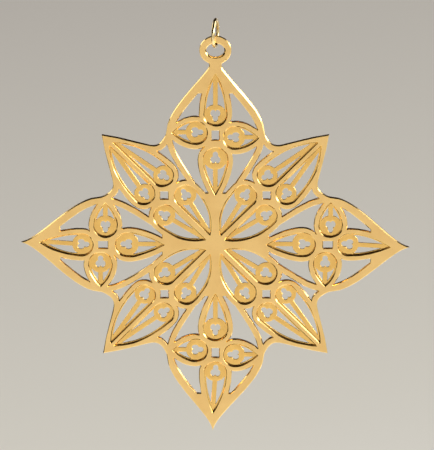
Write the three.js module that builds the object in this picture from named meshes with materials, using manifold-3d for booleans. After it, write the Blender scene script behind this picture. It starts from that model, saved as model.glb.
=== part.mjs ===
// A pierced star ornament on a jump ring: a polished openwork plate with a thin tracery sheet
// soldered to its back. Millimetres, +Z up. The star hangs in the XZ plane and faces -Y. The
// origin is where the ring hangs: the inside of the top of its wire.
//
// Plans are drawn flat, as [across, out]: across is clockwise seen from the front, and out is
// away from the centre of the star. A petal is drawn pointing up and then turned to its place.

import * as THREE from 'three'
import { mergeVertices } from 'three/addons/utils/BufferGeometryUtils.js'
import Module from 'manifold-3d'

// Thicknesses of the two sheets
const frameThickness = 0.8
const sheetThickness = 0.3

// Outline: four main petals, whose points lean a little, and four shorter ones between them.
// The points between a petal's tip and its foot are the handles of the curve of its flank.
const mainReach = 44.7
const mainLean = 0.6
const mainNeckWidth = 2.1
const mainNeckLength = 4.7
const mainBulge = [11.2, 33.0]
const mainShoulder = [11.3, 26.3]
const valley = [12.45, 23.47]
const diagonalReach = 36.8
const diagonalFoot = [6.6, 26.6]
const diagonalSpread = [5.3, 27.9]
const diagonalFlankWidth = 6.0
const diagonalFlankLength = 3.9

// The leaf that fills a main petal narrows below its waist to an arm that reaches the hub
const leafWaist = [12.0, 19.5]
const armShoulder = [1.3, 11.0]
const armFoot = [1.1, 3.0]
const hubRadius = 2.4

// Bands of metal left standing along the outline, along the leaves and round the openings. A
// leaf's band is thicker towards the tip of its petal.
const outlineBand = 1.45
const leafBand = 1.4
const tipThickening = 0.8
const openingRim = 1.25

// The end of each main petal and its arm are solid, but for the points of its openings
const solidTipLength = 9.0
const solidArmLength = 12.3

// Cross of four openings round a square eye in each main petal. Each opening has a round end
// towards the eye and a point away from it. The outer one stops a margin short of the petal's
// tip, and the side ones sit a step off the eye's level.
const crossPlace = 25.9
const mainEyeWidth = 1.7
const mainEyeHeight = 2.2
const eyeFrame = 2.8
const outerMargin = 4.4
const outerOffset = 4.9
const outerLength = mainReach - outerMargin - crossPlace - outerOffset
const outerOpening = { offset: outerOffset, radius: 2.55, length: outerLength, bow: 0.5 }
const innerOpening = { offset: 5.8, radius: 2.8, length: 8.3, bow: 0.4 }
const sideOpening = { offset: 4.55, radius: 2.62, length: 5.3, bow: 0.5 }
const sideStep = 0.6

// Two pairs of half leaves in each diagonal petal, on both sides of a bar. The far pair stops
// a margin short of the petal's tip.
const farMargin = 3.2
const farPlace = 20.2
const farLength = diagonalReach - farMargin - farPlace
const farPair = { place: farPlace, radius: 2.45, length: farLength, bow: 0.62, bar: 1.15 }
const nearPair = { place: 12.9, radius: 2.6, length: 10.4, bow: 0.67, bar: 1.5 }
const diagonalEye = 1.8

// Tracery in each opening: a rim, a stem from the point, a crossband and a head with a hole of
// three lobes, which overlap a little in the middle. The hole is drawn out towards the round
// end of the opening.
const traceryRim = 0.35
const stemWidth = 1.1
const crossband = 0.65
const lobeCount = 3
const lobeRadius = 0.62
const lobeOverlap = 0.04
const lobeStretch = 1.3
const lobeDrop = 0.25

// Oval eyelet that grows out of the top petal, with its middle a little above the petal's point
const eyeletWidth = 7.3
const eyeletHeight = 6.7
const eyeletHoleWidth = 4.1
const eyeletHoleHeight = 3.1
const eyeletRise = 1.1
const eyeletPlace = mainReach + eyeletRise
const neckWidth = 3.0

// Jump ring: round wire, bent shut
const wireRadius = 0.4
const ringInside = 2.7
const ringTurn = 10
const seamGap = 0.12
const seamAngle = 20
const strapClearance = 0.3

// Largest distance between a round stretch and its facets
const flatness = 0.04

const quarter = Math.PI / 2
const eighth = Math.PI / 4
const petals = [0, 1, 2, 3]
const pastFace = 1
const bendSamples = 8
const roundingShare = 0.98

const wasm = await Module()
wasm.setup()

const spot = ([across, out]) => new THREE.Vector2(across, out)
const mirrored = ([across, out]) => [-across, out]
const starCentre = new THREE.Vector2()
const turned = (points, angle) => points.map((point) => point.clone().rotateAround(starCentre, -angle))
const moved = (points, across, out) => points.map((point) => point.clone().add(spot([across, out])))

function circle(radius) {
  const count = Math.ceil(Math.PI * Math.sqrt(radius / (2 * flatness)))
  return Array.from({ length: count }, (_, index) => {
    const angle = (index * 2 * Math.PI) / count
    return spot([radius * Math.cos(angle), radius * Math.sin(angle)])
  })
}

function oval(width, height) {
  return circle(width / 2).map((point) => spot([point.x, (point.y * height) / width]))
}

function rectangle(width, height) {
  return [spot([-width, -height]), spot([width, -height]), spot([width, height]), spot([-width, height])]
    .map((corner) => corner.multiplyScalar(0.5))
}

// Points along a closed path, with as many facets on each curve as its bend needs
function traced(path) {
  return path.curves.flatMap((curve) => {
    const parts = Array.from({ length: bendSamples + 1 }, (_, index) => index / bendSamples)
    const tangents = parts.map((part) => curve.getTangent(part))
    const bend = tangents.slice(1).reduce((sum, tangent, index) => sum + tangent.angleTo(tangents[index]), 0)
    const steps = Math.ceil(Math.sqrt((curve.getLength() * bend) / (8 * flatness)))
    return curve.getPoints(Math.max(steps, 1)).slice(0, -1)
  })
}

// Moves every side of a closed plan outwards by a distance, or inwards where it is negative.
// Sharp corners are kept from running out into spikes.
function grown(points, distance) {
  const longestMitre = 3
  const sign = THREE.ShapeUtils.isClockWise(points) ? -1 : 1
  return points.map((point, index) => {
    const incoming = point.clone().sub(points.at(index - 1)).normalize()
    const outgoing = points[(index + 1) % points.length].clone().sub(point).normalize()
    const direction = spot([incoming.y + outgoing.y, -incoming.x - outgoing.x]).normalize()
    const slant = Math.max(direction.dot(spot([incoming.y, -incoming.x])), 1 / longestMitre)
    return point.clone().addScaledVector(direction, (sign * distance) / slant)
  })
}

function distanceToPlan(point, plan) {
  const distances = plan.map((start, index) => {
    const side = plan[(index + 1) % plan.length].clone().sub(start)
    const offset = point.clone().sub(start)
    const share = THREE.MathUtils.clamp(offset.dot(side) / side.lengthSq(), 0, 1)
    return offset.addScaledVector(side, -share).length()
  })
  return Math.min(...distances)
}

// The plan inside a closed plan that keeps a distance from all of its sides. Where the plan is
// too narrow for that, as in a point or an arm, it ends.
function shrunk(points, distance) {
  return grown(points, -distance).filter((point) => distanceToPlan(point, points) > roundingShare * distance)
}

function asSolid(geometry) {
  geometry.deleteAttribute('normal')
  geometry.deleteAttribute('uv')
  const merged = mergeVertices(geometry, 1e-5)
  const mesh = new wasm.Mesh({
    numProp: 3,
    vertProperties: merged.attributes.position.array,
    triVerts: new Uint32Array(merged.index.array),
  })
  return new wasm.Manifold(mesh)
}

// A flat plan made solid between two heights above the back of the frame
function slab(points, low, high) {
  const options = { depth: high - low, bevelEnabled: false }
  return asSolid(new THREE.ExtrudeGeometry(new THREE.Shape(points), options).translate(0, 0, low))
}

const joined = (solids) => solids.reduce((sum, solid) => sum.add(solid))

function pierced(solid, plans, low, high) {
  return plans.reduce((rest, plan) => rest.subtract(slab(plan, low - pastFace, high + pastFace)), solid)
}

// The two curves from a main petal's tip to its shoulders. The top petal carries the eyelet,
// so it doesn't lean.
const leanOf = (petal) => (petal === 0 ? 0 : mainLean)
const neckOf = (petal, side) => [leanOf(petal) + (side * mainNeckWidth) / 2, mainReach - mainNeckLength]
const tipOf = (petal) => [leanOf(petal), mainReach]
const flankOf = (side) => [(side * diagonalFlankWidth) / 2, diagonalReach - diagonalFlankLength]

// Outline of the star, a quarter at a time: down a main petal's right flank, round the valley,
// over the diagonal petal, round the next valley and up the next main petal's left flank
function starOutline() {
  const path = new THREE.Path()
  for (const petal of petals) {
    const main = petal * quarter
    const diagonal = main + eighth
    const next = main + quarter
    const nextPetal = (petal + 1) % petals.length
    const at = (place, angle) => turned([spot(place)], angle)[0].toArray()
    if (petal === 0) path.moveTo(...at(tipOf(petal), main))
    path.bezierCurveTo(...at(neckOf(petal, 1), main), ...at(mainBulge, main), ...at(mainShoulder, main))
    path.quadraticCurveTo(...at(valley, main), ...at(mirrored(diagonalFoot), diagonal))
    path.bezierCurveTo(
      ...at(mirrored(diagonalSpread), diagonal),
      ...at(flankOf(-1), diagonal),
      ...at([0, diagonalReach], diagonal),
    )
    path.bezierCurveTo(
      ...at(flankOf(1), diagonal),
      ...at(diagonalSpread, diagonal),
      ...at(diagonalFoot, diagonal),
    )
    path.quadraticCurveTo(...at(mirrored(valley), next), ...at(mirrored(mainShoulder), next))
    path.bezierCurveTo(
      ...at(mirrored(mainBulge), next),
      ...at(neckOf(nextPetal, -1), next),
      ...at(tipOf(nextPetal), next),
    )
  }
  return traced(path)
}

// The leaf of a main petal, drawn pointing up: the petal's own outline above, the arm to the
// hub below
function mainLeaf(petal) {
  const path = new THREE.Path()
  path.moveTo(...tipOf(petal))
  path.bezierCurveTo(...neckOf(petal, 1), ...mainBulge, ...mainShoulder)
  path.bezierCurveTo(...leafWaist, ...armShoulder, ...armFoot)
  path.lineTo(...mirrored(armFoot))
  path.bezierCurveTo(...mirrored(armShoulder), ...mirrored(leafWaist), ...mirrored(mainShoulder))
  path.bezierCurveTo(...mirrored(mainBulge), ...neckOf(petal, -1), ...tipOf(petal))
  return traced(path)
}

// The leaf and what is open inside its band. The open part keeps clear of the band moved
// towards the hub as well, which thickens the band towards the tip.
function leafParts(petal, low, high) {
  const leaf = mainLeaf(petal)
  const open = shrunk(leaf, leafBand)
  const place = (plan) => slab(turned(plan, petal * quarter), low - pastFace, high + pastFace)
  return {
    leaf: slab(turned(leaf, petal * quarter), low, high),
    open: place(open).intersect(place(moved(open, 0, -tipThickening))),
  }
}

// An opening like a willow leaf, drawn round the centre of its round end with its point up.
// A bow says how far up a side swells before it turns to the point.
function leafOpening(radius, length, tip, rightBow, leftBow) {
  const path = new THREE.Path()
  path.moveTo(tip, length)
  path.quadraticCurveTo(radius, rightBow * length, radius, 0)
  path.absarc(0, 0, radius, 0, -Math.PI, true)
  path.quadraticCurveTo(-radius, leftBow * length, tip, length)
  return traced(path)
}

// Holes that leave the tracery standing in an opening: a slot on each side of the stem, down
// to the crossband, and the lobed hole in the head
function traceryHoles(plan, radius, length, tip) {
  const low = -sheetThickness - pastFace
  const high = pastFace
  const lean = Math.atan2(tip, length)
  const stem = turned(moved(rectangle(stemWidth, 2 * length), 0, length), lean)
  const headRadius = radius - traceryRim + crossband / 2
  const head = turned(moved(circle(headRadius), 0, -crossband / 2), lean)
  const slots = pierced(slab(shrunk(plan, traceryRim), low, high), [stem, head], low, high)
  const lobes = Array.from({ length: lobeCount }, (_, index) => {
    const angle = Math.PI + (index * 2 * Math.PI) / lobeCount
    return slab(turned(moved(circle(lobeRadius), 0, lobeRadius - lobeOverlap), angle), low, high)
  })
  const lobedHole = joined(lobes)
    .scale([1, lobeStretch, 1])
    .translate(0, -lobeDrop, 0)
    .rotate(0, 0, -THREE.MathUtils.radToDeg(lean))
  return slots.add(lobedHole)
}

// One opening in its place: its plan, and the holes of its tracery
function placedOpening({ radius, length }, tip, bows, turn, across, out, petalAngle) {
  const plan = leafOpening(radius, length, tip, ...bows)
  return {
    plan: turned(moved(turned(plan, turn), across, out), petalAngle),
    holes: traceryHoles(plan, radius, length, tip)
      .rotate(0, 0, -THREE.MathUtils.radToDeg(turn))
      .translate(across, out, 0)
      .rotate(0, 0, -THREE.MathUtils.radToDeg(petalAngle)),
  }
}

function crossOpenings(petal) {
  const place = (shape, tip, turn, across, out) =>
    placedOpening(shape, tip, [shape.bow, shape.bow], turn, across, out, petal * quarter)
  return [
    place(outerOpening, leanOf(petal), 0, 0, crossPlace + outerOpening.offset),
    place(innerOpening, 0, Math.PI, 0, crossPlace - innerOpening.offset),
    place(sideOpening, 0, quarter, sideOpening.offset, crossPlace - sideStep),
    place(sideOpening, 0, -quarter, -sideOpening.offset, crossPlace + sideStep),
  ]
}

// The side along the bar is straight and the other one bows out. The far pair points
// outwards and the near pair points to the hub.
function pairOpenings(petal) {
  const straight = 0.5
  const place = (pair, side, outwards) => {
    const barSide = -side * outwards
    const bows = barSide < 0 ? [pair.bow, straight] : [straight, pair.bow]
    const across = side * (pair.bar / 2 + pair.radius)
    const turn = outwards > 0 ? 0 : Math.PI
    const petalAngle = petal * quarter + eighth
    return placedOpening(pair, barSide * pair.radius, bows, turn, across, pair.place, petalAngle)
  }
  return [place(farPair, 1, 1), place(farPair, -1, 1), place(nearPair, 1, -1), place(nearPair, -1, -1)]
}

// Square eyes at the middle of each cross and between the two pairs, square to the star
function eyePlans(petal, grow) {
  const farEnd = farPair.place - farPair.radius
  const nearEnd = nearPair.place + nearPair.radius
  const mainEye = rectangle(mainEyeWidth + grow, mainEyeHeight + grow)
  const diagonalSquare = turned(rectangle(diagonalEye + grow, diagonalEye + grow), eighth)
  return [
    turned(moved(mainEye, 0, crossPlace), petal * quarter),
    turned(moved(diagonalSquare, 0, (farEnd + nearEnd) / 2), petal * quarter + eighth),
  ]
}

// The metal that both sheets have: bands, rims, eye frames and hub, inside the star's outline
function openwork(openings, low, high) {
  const outline = starOutline()
  const armCover = rectangle(2 * solidArmLength, 2 * solidArmLength)
  const tipCover = moved(rectangle(mainReach, 2 * solidTipLength), 0, mainReach)
  const band = pierced(slab(outline, low, high), [shrunk(outline, outlineBand)], low, high)
  const leaves = petals.map((petal) => leafParts(petal, low, high))
  const leafBands = leaves.map(({ leaf, open }) => leaf.subtract(open))
  const rims = openings.map(({ plan }) => slab(grown(plan, openingRim), low, high))
  const frames = petals.flatMap((petal) => eyePlans(petal, eyeFrame)).map((plan) => slab(plan, low, high))
  const arms = leaves.map(({ leaf }) => leaf.intersect(slab(armCover, low, high)))
  const tips = petals.map((petal) => slab(turned(tipCover, petal * quarter), low, high))
  const hub = slab(circle(hubRadius), low, high)
  const metal = joined([band, ...leafBands, ...rims, ...frames, ...arms, ...tips, hub])
  const star = metal.intersect(slab(outline, low, high))
  return pierced(star, petals.flatMap((petal) => eyePlans(petal, 0)), low, high)
}

function starFrame(openings) {
  const low = 0
  const high = frameThickness
  const eyelet = slab(moved(oval(eyeletWidth, eyeletHeight), 0, eyeletPlace), low, high)
  const neckLength = mainNeckLength + eyeletRise
  const neck = slab(moved(rectangle(neckWidth, neckLength), 0, eyeletPlace - neckLength / 2), low, high)
  const plate = joined([openwork(openings, low, high), eyelet, neck])
  const eyeletHole = moved(oval(eyeletHoleWidth, eyeletHoleHeight), 0, eyeletPlace)
  return pierced(plate, [...openings.map(({ plan }) => plan), eyeletHole], low, high)
}

// The sheet's top point is trimmed round the eyelet, so the ring touches only the frame
function tracerySheet(openings) {
  const low = -sheetThickness
  const high = 0
  const eyelet = moved(oval(eyeletWidth, eyeletHeight), 0, eyeletPlace)
  const sheet = pierced(openwork(openings, low, high), [eyelet], low, high)
  return openings.reduce((rest, { holes }) => rest.subtract(holes), sheet)
}

// The wire's middle line, from one end of the seam round to the other
class RingLine extends THREE.Curve {
  getPoint(part) {
    const radius = ringInside + wireRadius
    const open = seamGap / radius
    const angle = THREE.MathUtils.degToRad(seamAngle) + open / 2 + part * (2 * Math.PI - open)
    return new THREE.Vector3(0, radius * Math.cos(angle), radius * Math.sin(angle))
  }
}

function jumpRing() {
  const steps = 2 * circle(ringInside + wireRadius).length
  const options = { steps, bevelEnabled: false, extrudePath: new RingLine() }
  const geometry = new THREE.ExtrudeGeometry(new THREE.Shape(circle(wireRadius)), options)
  return geometry.rotateZ(-THREE.MathUtils.degToRad(ringTurn)).translate(0, 0, -ringInside)
}

// Stands a flat solid up, so that out is +Z and the front faces -Y
function standing(solid) {
  const upright = new THREE.Matrix4().makeBasis(
    new THREE.Vector3(1, 0, 0),
    new THREE.Vector3(0, 0, 1),
    new THREE.Vector3(0, -1, 0),
  )
  const { vertProperties, triVerts } = solid.getMesh()
  const geometry = new THREE.BufferGeometry()
  geometry.setAttribute('position', new THREE.BufferAttribute(vertProperties, 3))
  geometry.setIndex(new THREE.BufferAttribute(triVerts, 1))
  geometry.applyMatrix4(upright)
  geometry.computeVertexNormals()
  return geometry
}

const polishedGold = new THREE.MeshStandardMaterial({ color: 0xe9c070, roughness: 0.2, metalness: 1 })
const etchedGold = new THREE.MeshStandardMaterial({ color: 0xd9a552, roughness: 0.45, metalness: 1 })
const wireGold = new THREE.MeshStandardMaterial({ color: 0xe2b765, roughness: 0.25, metalness: 1 })

function named(name, geometry, material) {
  const mesh = new THREE.Mesh(geometry, material)
  mesh.name = name
  return mesh
}

// The star hangs by its eyelet's strap, a clearance above the ring's lowest wire, with the
// frame's middle plane through the middle of the ring
const openings = petals.flatMap((petal) => [...crossOpenings(petal), ...pairOpenings(petal)])
const star = new THREE.Group()
const hubHeight = strapClearance - 2 * ringInside - eyeletHoleHeight / 2 - eyeletPlace
star.position.set(0, frameThickness / 2, hubHeight)
star.add(named('star_frame', standing(starFrame(openings)), polishedGold))
star.add(named('tracery_sheet', standing(tracerySheet(openings)), etchedGold))

const ornament = new THREE.Group()
ornament.add(star, named('jump_ring', jumpRing(), wireGold))

export default ornament
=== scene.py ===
# Looks of the pierced star ornament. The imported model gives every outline: the two sheets are
# rebuilt from it with smooth curves and worked edges, and the ring is bent anew from round wire.
# Metres, +Z up. The front faces -Y.

import math

import bmesh
import bpy
import numpy as np
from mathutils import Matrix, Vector
from mathutils.geometry import delaunay_2d_cdt
from mathutils.noise import noise


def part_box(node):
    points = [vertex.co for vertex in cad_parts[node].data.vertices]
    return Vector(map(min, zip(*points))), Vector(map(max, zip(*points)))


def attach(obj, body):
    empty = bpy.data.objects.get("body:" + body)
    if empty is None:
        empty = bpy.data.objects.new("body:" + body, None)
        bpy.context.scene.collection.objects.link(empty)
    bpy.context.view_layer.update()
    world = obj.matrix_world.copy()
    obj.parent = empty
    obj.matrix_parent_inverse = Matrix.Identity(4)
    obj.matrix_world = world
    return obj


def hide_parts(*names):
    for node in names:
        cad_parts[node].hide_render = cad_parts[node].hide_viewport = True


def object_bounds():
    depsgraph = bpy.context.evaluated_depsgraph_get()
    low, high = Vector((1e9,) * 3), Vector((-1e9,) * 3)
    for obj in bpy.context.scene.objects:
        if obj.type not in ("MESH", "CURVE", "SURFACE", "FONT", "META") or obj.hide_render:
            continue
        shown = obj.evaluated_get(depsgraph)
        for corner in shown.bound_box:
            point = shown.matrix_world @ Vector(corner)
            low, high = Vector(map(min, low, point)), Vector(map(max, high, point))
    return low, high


MM = 0.001

# Edges, from the flat face to the wall: a rounded shoulder, a straight chamfer and a rounded foot.
# An edge that has only a shoulder is round all the way.
OUTLINE_EDGE = {"shoulder": 0.05 * MM, "slant": math.radians(60), "chamfer": 0.24 * MM, "foot": 0.05 * MM}
OPENING_EDGE = {"shoulder": 0.10 * MM, "slant": math.radians(46), "chamfer": 0.40 * MM, "foot": 0.04 * MM}
SHEET_EDGE = {"shoulder": 0.10 * MM}
JOINT_EDGE = {"shoulder": 0.04 * MM}
BACK_EDGE = {"shoulder": 0.14 * MM}
EDGE_STEPS = 5
# How much the width of an edge varies, and over what length
EDGE_UNEVENNESS = 0.6
EDGE_WAVE = 2.4 * MM
# Where an opening is nearly straight, its edge has a smaller share of the full width and varies more.
# A bend of the round radius has all of it. Bends are measured over a reach to both sides.
STRAIGHT_SHARE = 0.4
STRAIGHT_UNEVENNESS = 1.6
STRAIGHT_WAVE = 4.5 * MM
STRAIGHT_LEAST = 0.2
STRAIGHT_MOST = 1.8
ROUND_RADIUS = 1.7 * MM
ROUND_REACH = 1.0 * MM
# The edge on the right flank of the top petal is buffed wider
BUFFED_PLACE = (4.8 * MM, -17.0 * MM)
BUFFED_REACH = 7.5 * MM
BUFFED_MORE = 2.2

# How outlines are read and smoothed. Turns sharper than a corner's stay sharp, and a side that is
# longer than its neighbour by the long side's ratio runs straight into it.
SAME_PLACE = 0.002 * MM
CORNER = math.radians(44)
BEND_STEP = math.radians(6)
LONG_SIDE = 2.5
# How outlines are inset: the steps of a fan round an inner corner, the longest mitre at an outer one,
# and the share of an inset that has to stay free
FAN_STEP = math.radians(18)
LONGEST_MITRE = 6.0
INSET_ROOM = 0.97
# How faces are filled and shaded. The accuracy is in millimetres.
ALL_TRIANGLES = 0
FILL_ACCURACY = 1e-7
SHARP_ANGLE = math.radians(38)
FLAT_FACE_WEIGHT = 100

# Jump ring: the model's, with slightly thinner wire, so that it stays within the model's facets
WIRE_RADIUS = 0.39 * MM
RING_INSIDE = 2.7 * MM
RING_TURN = math.radians(10)
SEAM_GAP = 0.12 * MM
SEAM_ANGLE = math.radians(20)
WIRE_STEPS = 28
RING_STEPS = 160
END_ROUNDING = 0.08 * MM
END_STEPS = 4

# Metals: the colour, also that of the painted highlight along the edges, the roughness and how much
# that varies, the grain, and the size of the patches in the tone and how much darker the dull ones are
POLISHED_GOLD = {
    "colour": (1.0, 0.66, 0.25),
    "edge_highlight": (1.0, 0.72, 0.23),
    "roughness": 0.09,
    "uneven": 0.03,
    "grain_size": 0.12 * MM,
    "grain_depth": 0.001 * MM,
    "tone_size": 6 * MM,
    "dull_tone": (0.93, 0.90, 0.86),
}
ETCHED_GOLD = POLISHED_GOLD | {
    "colour": (0.97, 0.60, 0.175),
    "edge_highlight": (1.0, 0.68, 0.2),
    "roughness": 0.15,
    "uneven": 0.05,
    "grain_size": 0.09 * MM,
    "grain_depth": 0.002 * MM,
}
WIRE_GOLD = POLISHED_GOLD | {
    "colour": (0.95, 0.73, 0.36),
    "edge_highlight": (1.0, 0.8, 0.42),
    "roughness": 0.05,
    "uneven": 0.02,
    "tone_size": 1.2 * MM,
    "dull_tone": (0.45, 0.42, 0.36),
}
# Where in the noise the dull tone ends and the full one starts
TONE_STOPS = (0.35, 0.6)
# Painted shade on the frame's walls: tints by the depth behind its front face
PAINTED_WALL_SHADES = [
    (0.0, (1.0, 1.0, 1.0)),
    (0.20 * MM, (1.0, 1.0, 1.0)),
    (0.45 * MM, (0.16, 0.11, 0.07)),
    (0.74 * MM, (0.16, 0.11, 0.07)),
    (0.79 * MM, (1.0, 1.0, 1.0)),
]
# Polishing scratches, whose length is in widths
SCRATCH_WIDTH = 0.05 * MM
SCRATCH_LENGTH = 30
SCRATCH_SLOPE = math.radians(25)
SCRATCH_DEPTH = 0.0006 * MM
# Painted highlight along the edges: its reach, and the cosine between the real normal and a rounded
# copy's at which it is full
HIGHLIGHT_REACH = 0.35 * MM
HIGHLIGHT_FULL = 0.9
HIGHLIGHT_SAMPLES = 4
# Slight waves of the surface
WAVE_SIZE = 7 * MM
WAVE_DEPTH = 0.02 * MM
# How finely the noise of each is broken up
TONE_DETAIL = 4
SCRATCH_DETAIL = 2
WAVE_DETAIL = 1
GRAIN_DETAIL = 3

# Camera: the photograph looks down on the hanging star from a little above
CAMERA_PITCH = math.radians(14.65)
CAMERA_DISTANCE = 1.0
CAMERA_ACROSS = 0.37 * MM
CAMERA_ABOVE_HUB = 4.64 * MM
PHOTO_HEIGHT = 450
PIXELS_PER_MM = 4.3475
SENSOR_WIDTH = 36.0
CLIP_START = 0.01
CLIP_END = 100

# Floor, with its colours by the distance along one way: painted shade, darker farther along
FLOOR_BELOW = 0.8
FLOOR_SIZE = 60.0
FLOOR_PAINTED_SHADE = [
    (0.0, (0.96, 0.95, 0.93)),
    (2.13, (0.686, 0.659, 0.591)),
    (3.77, (0.525, 0.495, 0.453)),
]
FLOOR_TURN = math.radians(35)
FLOOR_ROUGHNESS = 0.9
# The backdrop: the floor as seen over this distance, at this brightness
FLOOR_SEEN_TO = 6.0
FLOOR_BRIGHTNESS = 0.8

# Room light at eye level and overhead, and the sine of the elevation from which it is dark
SKY_LOW = (0.85, 0.84, 0.82)
SKY_HIGH = (0.03, 0.022, 0.013)
SKY_DARK_FROM = 0.2

# Soft lights: name, width and height, bearing and elevation in degrees, distance, radiance. A bright
# strip stands close in front of each of the two lights on the right.
RIGHT_FRONT = 53
RIGHT_SIDE = 102
PANEL_DISTANCE = 1.5
STRIP_DISTANCE = 1.45
PANEL_RADIANCE = 1.35
STRIP_RADIANCE = 5.5
SOFT_LIGHTS = [
    ("right front light", (1.18, 1.05), RIGHT_FRONT, 20, PANEL_DISTANCE, PANEL_RADIANCE),
    ("right side light", (1.56, 1.05), RIGHT_SIDE, 20, PANEL_DISTANCE, PANEL_RADIANCE),
    ("right front bright strip", (0.95, 0.44), RIGHT_FRONT, 18, STRIP_DISTANCE, STRIP_RADIANCE),
    ("right side bright strip", (1.45, 0.44), RIGHT_SIDE, 18, STRIP_DISTANCE, STRIP_RADIANCE),
    ("left back light", (1.1, 0.8), -120, 27, PANEL_DISTANCE, 2.0),
]
OVERHEAD_STRENGTH = 2.4
OVERHEAD_WIDTH = math.radians(60)

# Dark card to the left of the star, placed from its hub
CARD_PLACE = (-1.2, 0.4, 0)
CARD_WIDTH = 1.1
CARD_BOTTOM = -0.84
CARD_TOP = 0.03
CARD_COLOUR = (0.04, 0.035, 0.03)
CARD_ROUGHNESS = 0.9

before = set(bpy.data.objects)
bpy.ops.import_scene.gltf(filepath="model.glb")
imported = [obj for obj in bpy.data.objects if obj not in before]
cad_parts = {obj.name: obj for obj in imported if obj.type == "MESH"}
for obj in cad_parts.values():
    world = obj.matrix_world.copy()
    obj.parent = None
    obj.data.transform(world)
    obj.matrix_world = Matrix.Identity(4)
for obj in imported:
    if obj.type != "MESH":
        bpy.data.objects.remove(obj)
cad_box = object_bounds()


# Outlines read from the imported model

def face_outlines(node, level):
    """Closed outlines of a node's flat face at a depth y, as arrays of (x, z), with the metal on
    their left as seen from the front."""
    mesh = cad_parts[node].data
    places = {}
    sides = set()
    for polygon in mesh.polygons:
        corners = [mesh.vertices[index].co for index in polygon.vertices]
        if any(abs(corner.y - level) > SAME_PLACE for corner in corners):
            continue
        if polygon.normal.y > 0:
            corners.reverse()
        keys = [(round(corner.x / SAME_PLACE), round(corner.z / SAME_PLACE)) for corner in corners]
        places.update((key, (corner.x, corner.z)) for key, corner in zip(keys, corners))
        sides.update(zip(keys, keys[1:] + keys[:1]))
    following = {start: end for start, end in sides if (end, start) not in sides}
    outlines = []
    while following:
        start, here = following.popitem()
        outline = [places[start]]
        while here != start:
            outline.append(places[here])
            here = following.pop(here)
        outlines.append(np.array(outline))
    return outlines


def unit(vectors):
    return vectors / np.linalg.norm(vectors, axis=-1, keepdims=True)


def turn_between(first, second):
    """Angles from one set of directions to another, positive to the left."""
    cross = first[:, 0] * second[:, 1] - first[:, 1] * second[:, 0]
    return np.arctan2(cross, (first * second).sum(1))


def smoothed(points):
    """The outline as smooth curves between its corners, with a point for every few degrees."""
    sides = np.roll(points, -1, axis=0) - points
    lengths = np.linalg.norm(sides, axis=1)
    ways = unit(sides)
    ways_before = np.roll(ways, 1, axis=0)
    lengths_before = np.roll(lengths, 1)
    corner = np.abs(turn_between(ways_before, ways)) > CORNER
    tangents = unit(ways_before / lengths_before[:, None] + ways / lengths[:, None])
    tangents = np.where((lengths > LONG_SIDE * lengths_before)[:, None], ways, tangents)
    tangents = np.where((lengths_before > LONG_SIDE * lengths)[:, None], ways_before, tangents)
    finer = []
    for index, (start, way, length) in enumerate(zip(points, ways, lengths)):
        after = (index + 1) % len(points)
        leaving = tangents[index]
        arriving = tangents[after]
        if corner[index] and corner[after]:
            leaving = arriving = way
        elif corner[index]:
            leaving = 2 * way.dot(arriving) * way - arriving
        elif corner[after]:
            arriving = 2 * way.dot(leaving) * way - leaving
        bend = abs(turn_between(leaving[None], arriving[None])[0])
        count = max(1, math.ceil(bend / BEND_STEP))
        for part in np.arange(count) / count:
            rest = 1 - part
            finer.append(
                rest * rest * (1 + 2 * part) * start
                + part * part * (3 - 2 * part) * points[after]
                + rest * part * length * (rest * leaving - part * arriving)
            )
    return np.array(finer)


def turned(way, angle):
    """A direction turned to the left by an angle."""
    cosine, sine = math.cos(angle), math.sin(angle)
    return np.array([[cosine, -sine], [sine, cosine]]) @ way


def inward_rays(points):
    """The ways from an outline into the metal, as (index of the point, way). An outer corner has
    one long way, so that both of its sides stay straight, and an inner corner has a fan."""
    ways = unit(np.roll(points, -1, axis=0) - points)
    ways_before = np.roll(ways, 1, axis=0)
    turns = turn_between(ways_before, ways)
    rays = []
    for index, turn in enumerate(turns):
        before = np.array([-ways_before[index][1], ways_before[index][0]])
        if turn < -FAN_STEP:
            count = math.ceil(-turn / FAN_STEP)
            rays += [(index, turned(before, angle)) for angle in np.linspace(0, turn, count + 1)]
        else:
            mitre = min(1 / math.cos(turn / 2), LONGEST_MITRE)
            rays.append((index, turned(before, turn / 2) * mitre))
    return rays


def room_round(places, outline):
    """Distances from places to the nearest side of an outline."""
    sides = np.roll(outline, -1, axis=0) - outline
    offsets = places[:, None] - outline[None]
    shares = np.clip((offsets * sides).sum(2) / (sides * sides).sum(1), 0, 1)
    return np.linalg.norm(offsets - shares[..., None] * sides, axis=2).min(1)


def wave(points, size):
    """Smooth random values, mostly from -0.5 to 0.5, at points of an outline."""
    return np.array([noise(Vector((x, 0, z)) / size) for x, z in points])


def is_outer(points):
    """Whether an outline is the outer one, which has the metal inside it."""
    following = np.roll(points, -1, axis=0)
    return (points[:, 0] * following[:, 1] - following[:, 0] * points[:, 1]).sum() > 0


def buffed_sizes(points):
    """How many times the full width the edge of the star's outline has at each point."""
    distances = np.linalg.norm(points - np.array(BUFFED_PLACE), axis=1)
    on_the_right = points[:, 0] > 0
    return 1 + BUFFED_MORE * on_the_right * np.exp(-(distances / BUFFED_REACH) ** 2)


def edge_sizes(points):
    """The share of the full edge that each point of an opening's outline has: all of it in the round
    ends, and less along the sides."""
    ways = np.roll(points, -1, axis=0) - points
    lengths = np.linalg.norm(ways, axis=1)
    turns = -turn_between(np.roll(ways, 1, axis=0), ways)
    turns[turns > CORNER] = 0
    places = np.cumsum(lengths)
    apart = np.abs(places[:, None] - places[None])
    apart = np.minimum(apart, places[-1] - apart)
    bends = (turns[None] * (apart < ROUND_REACH)).sum(1) / (2 * ROUND_REACH)
    varied = np.clip(1 + STRAIGHT_UNEVENNESS * wave(points, STRAIGHT_WAVE), STRAIGHT_LEAST, STRAIGHT_MOST)
    straight = STRAIGHT_SHARE * varied
    return straight + (1 - straight) * np.clip(bends * ROUND_RADIUS, 0, 1)


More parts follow.
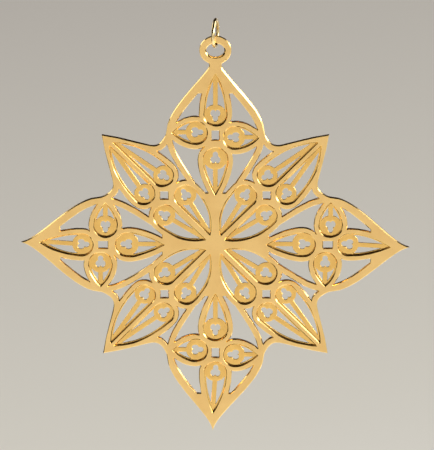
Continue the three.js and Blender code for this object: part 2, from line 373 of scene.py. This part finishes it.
def inset_places(points, rays, insets):
    """Where each ray ends at an inset, and which ray's end it shares. Without an inset, the rays of a
    point share one end. Where the metal is too sharp or too narrow, the ends that would cross others
    close up to the nearest one that doesn't."""
    starts = np.array([index for index, _ in rays])
    insets = insets[starts]
    ends = points[starts] + insets[:, None] * np.array([way for _, way in rays])
    if not insets.any():
        return ends, np.searchsorted(starts, starts)
    good = np.flatnonzero(room_round(ends, points) > INSET_ROOM * insets)
    apart = np.abs(np.arange(len(rays))[:, None] - good[None])
    apart = np.minimum(apart, len(rays) - apart)
    return ends, good[apart.argmin(1)]


def edge_places(shoulder, slant=math.pi / 2, chamfer=0.0, foot=0.0):
    """(inset, depth) over an edge, from the flat face to the wall."""
    turns = [step * slant / EDGE_STEPS for step in range(EDGE_STEPS + 1)]
    places = [(shoulder * math.sin(turn), shoulder * (1 - math.cos(turn))) for turn in turns]
    if chamfer:
        across, depth = places[-1]
        places.append((across + chamfer * math.cos(slant), depth + chamfer * math.sin(slant)))
    if foot:
        across, depth = places[-1]
        for step in range(1, EDGE_STEPS + 1):
            turn = slant + (math.pi / 2 - slant) * step / EDGE_STEPS
            places.append((
                across + foot * (math.sin(turn) - math.sin(slant)),
                depth + foot * (math.cos(slant) - math.cos(turn)),
            ))
    width = places[-1][0]
    return [(width - across, depth) for across, depth in places]


def edge_profile(front, back, front_edge, back_edge):
    """(inset, face, offset) from the edge of the front face, over both edges, to that of the back."""
    near = [(inset, front, depth) for inset, depth in edge_places(**front_edge)]
    far = [(inset, back, -depth) for inset, depth in edge_places(**back_edge)]
    return near + far[::-1]


# Pieces

def finished(name, shape, material, body, node):
    """Makes a piece of a shape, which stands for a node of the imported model."""
    bmesh.ops.recalc_face_normals(shape, faces=shape.faces)
    for face in shape.faces:
        face.smooth = True
    for edge in shape.edges:
        edge.smooth = edge.calc_face_angle(0.0) < SHARP_ANGLE
    mesh = bpy.data.meshes.new(name)
    shape.to_mesh(mesh)
    shape.free()
    mesh.materials.append(material)
    piece = bpy.data.objects.new(name, mesh)
    bpy.context.scene.collection.objects.link(piece)
    flat = piece.modifiers.new("flat faces", "WEIGHTED_NORMAL")
    flat.keep_sharp = True
    flat.weight = FLAT_FACE_WEIGHT
    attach(piece, body)
    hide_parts(node)


def ring_between(shape, first, second):
    """Quads between two closed rows of vertices. Where a row repeats a vertex, its quad closes up."""
    for index in range(len(first)):
        corners = [first[index - 1], first[index], second[index], second[index - 1]]
        corners = list(dict.fromkeys(corners))
        if len(corners) > 2:
            shape.faces.new(corners)


def inside(place, starts, ends):
    """Whether a place lies inside closed outlines: a line from it crosses an odd number of sides."""
    level = (starts[:, 1] > place[1]) != (ends[:, 1] > place[1])
    low, high = starts[level], ends[level]
    crossings = low[:, 0] + (place[1] - low[:, 1]) * (high[:, 0] - low[:, 0]) / (high[:, 1] - low[:, 1])
    return (crossings > place[0]).sum() % 2 == 1


def fill(shape, rows):
    """Triangles inside closed rows of vertices that lie in one plane. The rows within a row are holes."""
    level = rows[0][0].co.y
    vertices = list(dict.fromkeys(vertex for row in rows for vertex in row))
    numbers = {vertex: number for number, vertex in enumerate(vertices)}
    pairs = dict.fromkeys((row[order - 1], vertex) for row in rows for order, vertex in enumerate(row))
    sides = [(numbers[start], numbers[end]) for start, end in pairs if start != end]
    flat = [Vector((vertex.co.x / MM, vertex.co.z / MM)) for vertex in vertices]
    filled = delaunay_2d_cdt(flat, sides, [], ALL_TRIANGLES, FILL_ACCURACY)
    places, _, triangles, sources, _, _ = filled
    made = [
        vertices[source[0]] if source else shape.verts.new((place.x * MM, level, place.y * MM))
        for place, source in zip(places, sources)
    ]
    starts = np.array([flat[start] for start, _ in sides])
    ends = np.array([flat[end] for _, end in sides])
    for triangle in triangles:
        middle = sum((places[corner] for corner in triangle), Vector((0, 0))) / 3
        if inside(middle, starts, ends):
            shape.faces.new([made[corner] for corner in triangle])


def plate(name, node, material, sheet, edge, opening_edge, back_edge, buffed=False):
    """A pierced plate with the node's outlines and worked edges. The openings that a sheet's node
    doesn't have get an edge of their own. A buffed plate has a wider edge on one flank."""
    low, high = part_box(node)
    second = face_outlines(sheet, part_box(sheet)[0].y)
    shape = bmesh.new()
    front_rows = []
    back_rows = []
    for outline in face_outlines(node, low.y):
        alike = any(np.abs(outline[:, None] - other[None]).sum(2).min() < SAME_PLACE for other in second)
        points = smoothed(outline)
        rays = inward_rays(points)
        starts = [index for index, _ in rays]
        sizes = np.ones(len(points)) if alike else edge_sizes(points)
        widths = 1 + EDGE_UNEVENNESS * wave(points, EDGE_WAVE)
        if buffed and is_outer(points):
            widths *= buffed_sizes(points)
        profile = edge_profile(low.y, high.y, edge if alike else opening_edge, back_edge)
        rows = []
        for inset, face, offset in profile:
            ends, shared = inset_places(points, rays, inset * sizes * widths)
            depths = face + offset * sizes[starts]
            made = {
                order: shape.verts.new((ends[order][0], depths[order], ends[order][1]))
                for order in set(shared)
            }
            rows.append([made[order] for order in shared])
        for first, following in zip(rows, rows[1:]):
            ring_between(shape, first, following)
        front_rows.append(rows[0])
        back_rows.append(rows[-1])
    fill(shape, front_rows)
    fill(shape, back_rows)
    finished(name, shape, material, "star", node)


def wire_ring(material):
    """Round wire bent into a ring, with rounded ends that meet at the seam."""
    radius = RING_INSIDE + WIRE_RADIUS
    back = Vector((math.sin(RING_TURN), math.cos(RING_TURN), 0))
    up = Vector((0, 0, 1))
    side = back.cross(up)
    centre = Vector((0, 0, -RING_INSIDE))
    open_angle = SEAM_GAP / radius
    start = SEAM_ANGLE + open_angle / 2
    sweep = 2 * math.pi - open_angle
    rounding = END_ROUNDING / radius
    first_end = [
        (start + rounding * (1 - math.cos(angle)), WIRE_RADIUS - END_ROUNDING * (1 - math.sin(angle)))
        for angle in np.linspace(0, math.pi / 2, END_STEPS + 1)
    ]
    last_end = [(2 * start + sweep - angle, wire) for angle, wire in reversed(first_end)]
    between = np.linspace(first_end[-1][0], last_end[0][0], RING_STEPS)[1:-1]
    shape = bmesh.new()
    rows = []
    for angle, wire in first_end + [(angle, WIRE_RADIUS) for angle in between] + last_end:
        outward = back * math.cos(angle) + up * math.sin(angle)
        row = []
        for bearing in np.arange(WIRE_STEPS) * 2 * math.pi / WIRE_STEPS:
            out = outward * (radius + wire * math.cos(bearing))
            row.append(shape.verts.new(centre + out + side * (wire * math.sin(bearing))))
        rows.append(row)
    for first, second in zip(rows, rows[1:]):
        ring_between(shape, first, second)
    shape.faces.new(rows[0])
    shape.faces.new(rows[-1])
    finished("wire_ring", shape, material, "ring", "jump_ring")


# Materials

def new_material(name):
    """A material, its nodes and its main shader."""
    material = bpy.data.materials.new(name)
    material.use_nodes = True
    tree = material.node_tree
    return material, tree, tree.nodes["Principled BSDF"]


def node_of(tree, kind, **settings):
    node = tree.nodes.new(kind)
    for name, value in settings.items():
        setattr(node, name, value)
    return node


def shade_ramp(ramp, shades):
    """Sets a colour ramp to colours at distances, the first distance at its start, the last at its end."""
    first, last = shades[0][0], shades[-1][0]
    stops = ramp.color_ramp.elements
    for _ in shades[2:]:
        stops.new(0.5)
    for stop, (distance, colour) in zip(stops, shades):
        stop.position = (distance - first) / (last - first)
        stop.color = (*colour, 1)


def noise_node(tree, place, size, detail):
    """Three-dimensional noise whose patches have about this size."""
    cloud = node_of(tree, "ShaderNodeTexNoise")
    cloud.inputs["Scale"].default_value = 1 / size
    cloud.inputs["Detail"].default_value = detail
    tree.links.new(place, cloud.inputs["Vector"])
    return cloud.outputs["Fac"]


def bumped(tree, height, distance, normal=None):
    bump = node_of(tree, "ShaderNodeBump")
    bump.inputs["Distance"].default_value = distance
    tree.links.new(height, bump.inputs["Height"])
    if normal:
        tree.links.new(normal, bump.inputs["Normal"])
    return bump.outputs["Normal"]


def painted_edge_highlight(tree, reach):
    """Mask of the painted highlight: 1 along the edges of a piece, where a rounded copy has other normals,
    and 0 on its flat faces.
    """
    rounded = node_of(tree, "ShaderNodeBevel", samples=HIGHLIGHT_SAMPLES)
    rounded.inputs["Radius"].default_value = reach
    actual = node_of(tree, "ShaderNodeNewGeometry")
    alike = node_of(tree, "ShaderNodeVectorMath", operation="DOT_PRODUCT")
    highlight_mask = node_of(tree, "ShaderNodeMapRange")
    highlight_mask.inputs["From Min"].default_value = 1.0
    highlight_mask.inputs["From Max"].default_value = HIGHLIGHT_FULL
    tree.links.new(rounded.outputs["Normal"], alike.inputs[0])
    tree.links.new(actual.outputs["Normal"], alike.inputs[1])
    tree.links.new(alike.outputs["Value"], highlight_mask.inputs["Value"])
    return highlight_mask.outputs["Result"]


def painted_wall_shade(tree, shade, place, front):
    """The colour, with painted shade on the walls, darker by their depth behind a front face."""
    split = node_of(tree, "ShaderNodeSeparateXYZ")
    depth = node_of(tree, "ShaderNodeMapRange")
    depth.inputs["From Min"].default_value = front + PAINTED_WALL_SHADES[0][0]
    depth.inputs["From Max"].default_value = front + PAINTED_WALL_SHADES[-1][0]
    wall_shades = node_of(tree, "ShaderNodeValToRGB")
    shade_ramp(wall_shades, PAINTED_WALL_SHADES)
    wall_shaded = node_of(tree, "ShaderNodeMix", data_type="RGBA", blend_type="MULTIPLY")
    wall_shaded.inputs["Factor"].default_value = 1.0
    tree.links.new(place, split.inputs["Vector"])
    tree.links.new(split.outputs["Y"], depth.inputs["Value"])
    tree.links.new(depth.outputs["Result"], wall_shades.inputs["Fac"])
    tree.links.new(shade, wall_shaded.inputs["A"])
    tree.links.new(wall_shades.outputs["Color"], wall_shaded.inputs["B"])
    return wall_shaded.outputs["Result"]


def gold(name, colour, edge_highlight, roughness, uneven, grain_size, grain_depth, tone_size, dull_tone, front=None):
    """Gold-coloured metal. Its tone and gloss vary, its edges have a painted highlight, its surface is
    slightly wavy and finely grained and has polishing scratches. Behind a front face, the walls have
    painted shade."""
    material, tree, shader = new_material(name)
    shader.inputs["Metallic"].default_value = 1.0
    place = node_of(tree, "ShaderNodeTexCoord").outputs["Object"]

    cloud = noise_node(tree, place, tone_size, TONE_DETAIL)
    tone = node_of(tree, "ShaderNodeValToRGB")
    dull, bright = tone.color_ramp.elements
    dull.position, bright.position = TONE_STOPS
    dull.color = (*(part * share for part, share in zip(colour, dull_tone)), 1)
    bright.color = (*colour, 1)
    tree.links.new(cloud, tone.inputs["Fac"])
    # Painted highlight along the edges, lighter than the metal's own colour
    highlight_mask = painted_edge_highlight(tree, HIGHLIGHT_REACH)
    brightened = node_of(tree, "ShaderNodeMix", data_type="RGBA")
    brightened.inputs["B"].default_value = (*edge_highlight, 1)
    tree.links.new(highlight_mask, brightened.inputs["Factor"])
    tree.links.new(tone.outputs["Color"], brightened.inputs["A"])
    shade = brightened.outputs["Result"]
    # Painted shade on the walls behind the front face
    if front is not None:
        shade = painted_wall_shade(tree, shade, place, front)
    tree.links.new(shade, shader.inputs["Base Color"])

    stretched = node_of(tree, "ShaderNodeMapping")
    stretched.inputs["Rotation"].default_value = (0, SCRATCH_SLOPE, 0)
    stretched.inputs["Scale"].default_value = (1 / SCRATCH_LENGTH, 1, 1)
    tree.links.new(place, stretched.inputs["Vector"])
    scratch = noise_node(tree, stretched.outputs["Vector"], SCRATCH_WIDTH, SCRATCH_DETAIL)
    gloss = node_of(tree, "ShaderNodeMapRange")
    gloss.inputs["To Min"].default_value = roughness - uneven
    gloss.inputs["To Max"].default_value = roughness + uneven
    tree.links.new(cloud, gloss.inputs["Value"])
    tree.links.new(gloss.outputs["Result"], shader.inputs["Roughness"])

    normal = bumped(tree, noise_node(tree, place, WAVE_SIZE, WAVE_DETAIL), WAVE_DEPTH)
    normal = bumped(tree, scratch, SCRATCH_DEPTH, normal)
    normal = bumped(tree, noise_node(tree, place, grain_size, GRAIN_DETAIL), grain_depth, normal)
    tree.links.new(normal, shader.inputs["Normal"])
    return material


# Studio

def painted_floor_shade(tree, place, unit_distance):
    """The floor's colour with painted shade, which gets darker along one way. Places come in units of a
    distance.
    """
    rotated = node_of(tree, "ShaderNodeMapping")
    rotated.inputs["Rotation"].default_value = (0, 0, -FLOOR_TURN)
    split = node_of(tree, "ShaderNodeSeparateXYZ")
    depth = node_of(tree, "ShaderNodeMapRange")
    depth.inputs["From Min"].default_value = FLOOR_PAINTED_SHADE[0][0] / unit_distance
    depth.inputs["From Max"].default_value = FLOOR_PAINTED_SHADE[-1][0] / unit_distance
    ramp = node_of(tree, "ShaderNodeValToRGB")
    shade_ramp(ramp, FLOOR_PAINTED_SHADE)
    tree.links.new(place, rotated.inputs["Vector"])
    tree.links.new(rotated.outputs["Vector"], split.inputs["Vector"])
    tree.links.new(split.outputs["Y"], depth.inputs["Value"])
    tree.links.new(depth.outputs["Result"], ramp.inputs["Fac"])
    return ramp.outputs["Color"]


def board(name, corners, material):
    """A flat board with four corners."""
    mesh = bpy.data.meshes.new(name)
    mesh.from_pydata(corners, [], [(0, 1, 2, 3)])
    mesh.materials.append(material)
    flat = bpy.data.objects.new(name, mesh)
    bpy.context.scene.collection.objects.link(flat)
    return flat


def floor():
    material, tree, shader = new_material("pale floor")
    shader.inputs["Roughness"].default_value = FLOOR_ROUGHNESS
    shader.inputs["Specular IOR Level"].default_value = 0.0
    place = node_of(tree, "ShaderNodeTexCoord").outputs["Object"]
    # The floor's colour carries painted shade, darker along one way
    tree.links.new(painted_floor_shade(tree, place, 1.0), shader.inputs["Base Color"])
    half = FLOOR_SIZE / 2
    level = cad_box[0].z - FLOOR_BELOW
    corners = [(-half, -half, level), (half, -half, level), (half, half, level), (-half, half, level)]
    ground = board("floor", corners, material)


def soft_light(target, name, size, bearing, elevation, distance, radiance):
    """A light panel that faces a target. The bearing goes from straight in front to the right."""
    light = bpy.data.lights.new(name, "AREA")
    light.shape = "RECTANGLE"
    light.size, light.size_y = size
    light.energy = radiance * math.pi * light.size * light.size_y
    bearing, elevation = math.radians(bearing), math.radians(elevation)
    level = Vector((math.sin(bearing), -math.cos(bearing), 0))
    way = level * math.cos(elevation) + Vector((0, 0, math.sin(elevation)))
    lamp = bpy.data.objects.new(name, light)
    lamp.location = target + distance * way
    lamp.rotation_euler = way.to_track_quat("Z", "Y").to_euler()
    lamp.visible_camera = False
    bpy.context.scene.collection.objects.link(lamp)


def overhead_light():
    """Wide light from above, which doesn't show in the metal's gloss."""
    light = bpy.data.lights.new("overhead light", "SUN")
    light.energy = OVERHEAD_STRENGTH
    light.angle = OVERHEAD_WIDTH
    sun = bpy.data.objects.new("overhead light", light)
    sun.visible_glossy = False
    bpy.context.scene.collection.objects.link(sun)


def dark_card(hub):
    """A dark board that stands to the left of the star and shows in its gloss only."""
    material, _, shader = new_material("left dark card")
    shader.inputs["Base Color"].default_value = (*CARD_COLOUR, 1)
    shader.inputs["Roughness"].default_value = CARD_ROUGHNESS
    half = CARD_WIDTH / 2
    corners = [(0, -half, CARD_BOTTOM), (0, half, CARD_BOTTOM), (0, half, CARD_TOP), (0, -half, CARD_TOP)]
    card = board("left dark card", corners, material)
    card.location = hub + Vector(CARD_PLACE)
    card.visible_camera = False
    card.visible_diffuse = False
    card.visible_shadow = False


def sky():
    """Room light by height: pale up to eye level and dark overhead. The camera sees a backdrop that
    goes on from the floor, with the floor's painted shade."""
    world = bpy.data.worlds.new("room")
    bpy.context.scene.world = world
    world.use_nodes = True
    tree = world.node_tree
    room = tree.nodes["Background"]
    place = node_of(tree, "ShaderNodeTexCoord")
    split = node_of(tree, "ShaderNodeSeparateXYZ")
    ramp = node_of(tree, "ShaderNodeValToRGB")
    low, high = ramp.color_ramp.elements
    low.color = (*SKY_LOW, 1)
    high.color = (*SKY_HIGH, 1)
    high.position = SKY_DARK_FROM
    tree.links.new(place.outputs["Generated"], split.inputs["Vector"])
    tree.links.new(split.outputs["Z"], ramp.inputs["Fac"])
    tree.links.new(ramp.outputs["Color"], room.inputs["Color"])
    backdrop = node_of(tree, "ShaderNodeBackground")
    backdrop.inputs["Strength"].default_value = FLOOR_BRIGHTNESS
    # The backdrop carries the same painted shade as the floor
    tree.links.new(painted_floor_shade(tree, place.outputs["Generated"], FLOOR_SEEN_TO), backdrop.inputs["Color"])
    path = node_of(tree, "ShaderNodeLightPath")
    chosen = node_of(tree, "ShaderNodeMixShader")
    tree.links.new(path.outputs["Is Camera Ray"], chosen.inputs[0])
    tree.links.new(room.outputs["Background"], chosen.inputs[1])
    tree.links.new(backdrop.outputs["Background"], chosen.inputs[2])
    tree.links.new(chosen.outputs["Shader"], tree.nodes["World Output"].inputs["Surface"])


def camera(hub):
    view_height = PHOTO_HEIGHT / PIXELS_PER_MM * MM
    data = bpy.data.cameras.new("camera")
    data.sensor_width = SENSOR_WIDTH
    data.lens = SENSOR_WIDTH * CAMERA_DISTANCE / view_height
    data.clip_start = CLIP_START
    data.clip_end = CLIP_END
    eye = bpy.data.objects.new("camera", data)
    aim = hub + Vector((CAMERA_ACROSS, 0, CAMERA_ABOVE_HUB))
    back = Vector((0, -math.cos(CAMERA_PITCH), math.sin(CAMERA_PITCH)))
    eye.location = aim + back * CAMERA_DISTANCE
    eye.rotation_euler = (-back).to_track_quat("-Z", "Y").to_euler()
    bpy.context.scene.collection.objects.link(eye)
    bpy.context.scene.camera = eye


# The object

polished = gold("polished gold", **POLISHED_GOLD, front=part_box("star_frame")[0].y)
etched = gold("etched gold", **ETCHED_GOLD)
wire = gold("wire gold", **WIRE_GOLD)

plate("frame_plate", "star_frame", polished, "tracery_sheet",
      edge=OUTLINE_EDGE, opening_edge=OPENING_EDGE, back_edge=JOINT_EDGE, buffed=True)
plate("tracery_plate", "tracery_sheet", etched, "tracery_sheet",
      edge=SHEET_EDGE, opening_edge=SHEET_EDGE, back_edge=BACK_EDGE)
wire_ring(wire)


# What surrounds it. The star's lowest point is as far from the hub as its side points are.

star_low, star_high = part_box("tracery_sheet")
hub = Vector(((star_low.x + star_high.x) / 2, 0, star_low.z + (star_high.x - star_low.x) / 2))
floor()
sky()
for light in SOFT_LIGHTS:
    soft_light(hub, *light)
dark_card(hub)
overhead_light()
camera(hub)
bpy.context.scene.view_settings.view_transform = "Standard"
